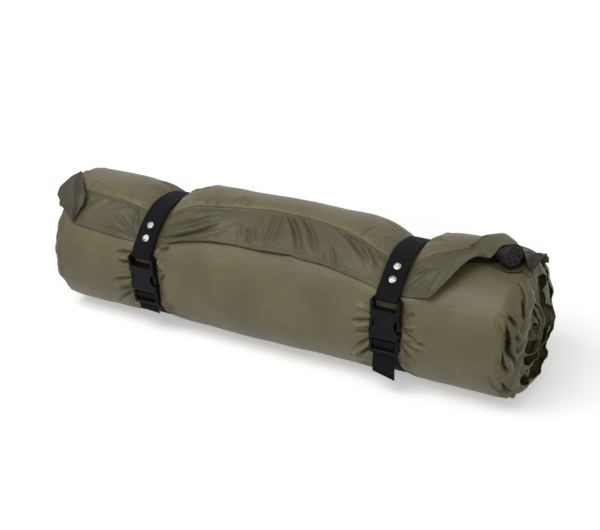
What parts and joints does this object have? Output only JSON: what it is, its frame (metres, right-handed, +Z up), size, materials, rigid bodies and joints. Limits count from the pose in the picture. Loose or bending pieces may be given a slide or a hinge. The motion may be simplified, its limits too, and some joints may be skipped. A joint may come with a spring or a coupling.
{
  "type": "self-inflating sleeping mat",
  "caption": "Rolled-up foam-cored sleeping mat with a twist valve at one corner, held by webbing straps with side-release buckles.",
  "frame": {"origin": "on the floor, under the roll's axis, at the middle of the flat patch that the roll rests on", "axes": "+X along the roll towards the end with the valve, -Y towards the buckles, +Z up"},
  "size_m": [0.578, 0.1671, 0.1724],
  "materials": {
    "foam": "open-cell polyurethane foam, pale cream",
    "shell_fabric": "olive coated nylon, soft sheen",
    "webbing": "black ribbed polypropylene webbing",
    "buckle_plastic": "black moulded acetal, satin faces and shiny edges",
    "rivet_nickel": "nickel-plated, lightly scuffed",
    "valve_plastic": "blue-black moulded plastic",
    "seal_silicone": "orange silicone",
    "seal_rubber": "black rubber"
  },
  "bodies": {
    "mat": {"foam_core": "foam", "shell_outer_sheet": "shell_fabric", "shell_inner_sheet": "shell_fabric", "valve_base": "valve_plastic", "valve_o_ring": "seal_rubber", "left_strap_band": "webbing", "left_buckle_male": "buckle_plastic", "right_strap_band": "webbing", "right_buckle_male": "buckle_plastic"},
    "valve_seal": {"valve_seal": "seal_silicone"},
    "valve_cap": {"valve_cap": "valve_plastic"},
    "left_female": {"left_buckle_female": "buckle_plastic", "left_strap_tab": "webbing", "left_rivet_lower": "rivet_nickel", "left_rivet_lower_washer": "rivet_nickel", "left_rivet_upper": "rivet_nickel", "left_rivet_upper_washer": "rivet_nickel"},
    "left_arm_a": {"left_buckle_arm_a": "buckle_plastic"},
    "left_arm_b": {"left_buckle_arm_b": "buckle_plastic"},
    "right_female": {"right_buckle_female": "buckle_plastic", "right_strap_tab": "webbing", "right_rivet_lower": "rivet_nickel", "right_rivet_lower_washer": "rivet_nickel", "right_rivet_upper": "rivet_nickel", "right_rivet_upper_washer": "rivet_nickel"},
    "right_arm_a": {"right_buckle_arm_a": "buckle_plastic"},
    "right_arm_b": {"right_buckle_arm_b": "buckle_plastic"}
  },
  "joints": [
    {"name": "valve_lift", "type": "slide", "parent": "mat", "child": "valve_seal", "axis": [0.749, -0.6626, 0], "range_m": [0, 0.003]},
    {"name": "valve_turn", "type": "hinge", "parent": "valve_seal", "child": "valve_cap", "pos_m": [0.259, -0.018, 0.1609], "axis": [0.749, -0.6626, 0], "range_deg": [0, 360]},
    {"name": "left_release", "type": "slide", "parent": "mat", "child": "left_female", "axis": [0, -0.1045, 0.9945], "range_m": [0, 0.03], "deforming": ["left_buckle_arm_a", "left_buckle_arm_b"]},
    {"name": "left_squeeze_a", "type": "hinge", "parent": "mat", "child": "left_arm_a", "pos_m": [-0.1342, -0.06826, 0.06198], "axis": [0, -0.9945, -0.1045], "range_deg": [0, 14], "stiffness_Nm_per_rad": 0.5},
    {"name": "left_squeeze_b", "type": "hinge", "parent": "mat", "child": "left_arm_b", "pos_m": [-0.1598, -0.06826, 0.06198], "axis": [0, -0.9945, -0.1045], "range_deg": [-14, 0]},
    {"name": "right_release", "type": "slide", "parent": "mat", "child": "right_female", "axis": [0, 0.0523, 0.9986], "range_m": [0, 0.03], "deforming": ["right_buckle_arm_a", "right_buckle_arm_b"]},
    {"name": "right_squeeze_a", "type": "hinge", "parent": "mat", "child": "right_arm_a", "pos_m": [0.1598, -0.06983, 0.07284], "axis": [0, -0.9986, 0.0523], "range_deg": [0, 14], "stiffness_Nm_per_rad": 0.5},
    {"name": "right_squeeze_b", "type": "hinge", "parent": "mat", "child": "right_arm_b", "pos_m": [0.1342, -0.06983, 0.07284], "axis": [0, -0.9986, 0.0523], "range_deg": [-14, 0]}
  ],
  "couplings": [
    {"joint": "valve_turn", "follows": "valve_lift", "rad_per_m": 2094.4},
    {"joint": "left_squeeze_b", "follows": "left_squeeze_a", "ratio": -1},
    {"joint": "right_squeeze_b", "follows": "right_squeeze_a", "ratio": -1}
  ]
}
